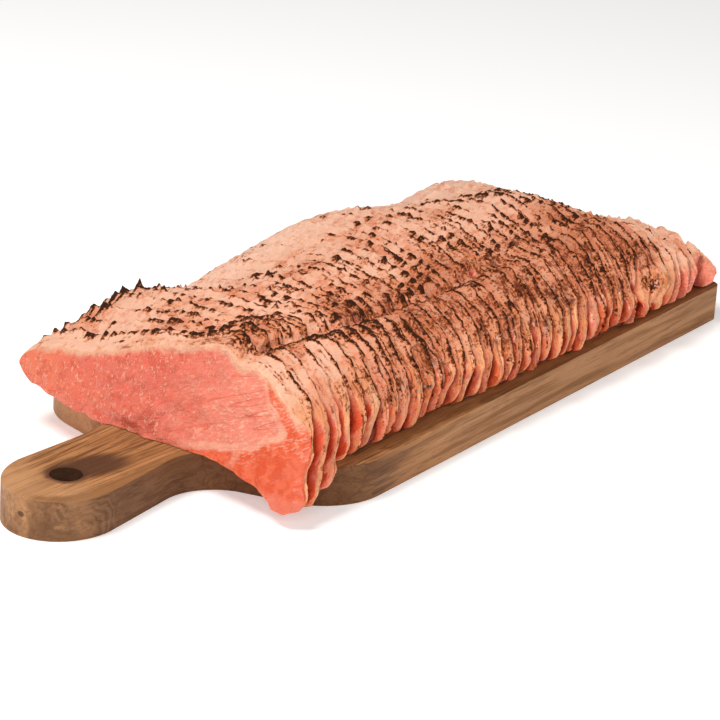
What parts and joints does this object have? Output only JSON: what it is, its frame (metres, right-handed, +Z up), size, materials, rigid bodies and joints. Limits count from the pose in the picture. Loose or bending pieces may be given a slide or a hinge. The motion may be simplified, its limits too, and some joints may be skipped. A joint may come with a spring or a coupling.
{
  "type": "cold-smoked trout on a wooden paddle board",
  "caption": "Side of cold-smoked trout cut into upright overlapping slices with seared edges, lying on a rustic wooden paddle board with a rounded handle and a hanging hole.",
  "frame": {"origin": "middle of the whole in plan, on the plane of the board's underside", "axes": "+X from the handle's tip towards the board's far end, +Y towards the fillet's thin belly side, +Z up"},
  "size_m": [0.499, 0.2, 0.0756],
  "materials": {
    "oiled_wood": "oiled, worn, satin",
    "trout_flesh": "moist, satin, seared dark along the edges"
  },
  "bodies": {
    "root": {"board": "oiled_wood", "slice_01": "trout_flesh", "slice_02": "trout_flesh", "slice_03": "trout_flesh", "slice_04": "trout_flesh", "slice_05": "trout_flesh", "slice_06": "trout_flesh", "slice_07": "trout_flesh", "slice_08": "trout_flesh", "slice_09": "trout_flesh", "slice_10": "trout_flesh", "slice_11": "trout_flesh", "slice_12": "trout_flesh", "slice_13": "trout_flesh", "slice_14": "trout_flesh", "slice_15": "trout_flesh", "slice_16": "trout_flesh", "slice_17": "trout_flesh", "slice_18": "trout_flesh", "slice_19": "trout_flesh", "slice_20": "trout_flesh", "slice_21": "trout_flesh", "slice_22": "trout_flesh", "slice_23": "trout_flesh", "slice_24": "trout_flesh", "slice_25": "trout_flesh", "slice_26": "trout_flesh", "slice_27": "trout_flesh", "slice_28": "trout_flesh", "slice_29": "trout_flesh", "slice_30": "trout_flesh", "slice_31": "trout_flesh", "slice_32": "trout_flesh", "slice_33": "trout_flesh", "slice_34": "trout_flesh", "slice_35": "trout_flesh", "slice_36": "trout_flesh", "slice_37": "trout_flesh", "slice_38": "trout_flesh", "slice_39": "trout_flesh", "slice_40": "trout_flesh", "slice_41": "trout_flesh", "slice_42": "trout_flesh"}
  },
  "joints": []
}
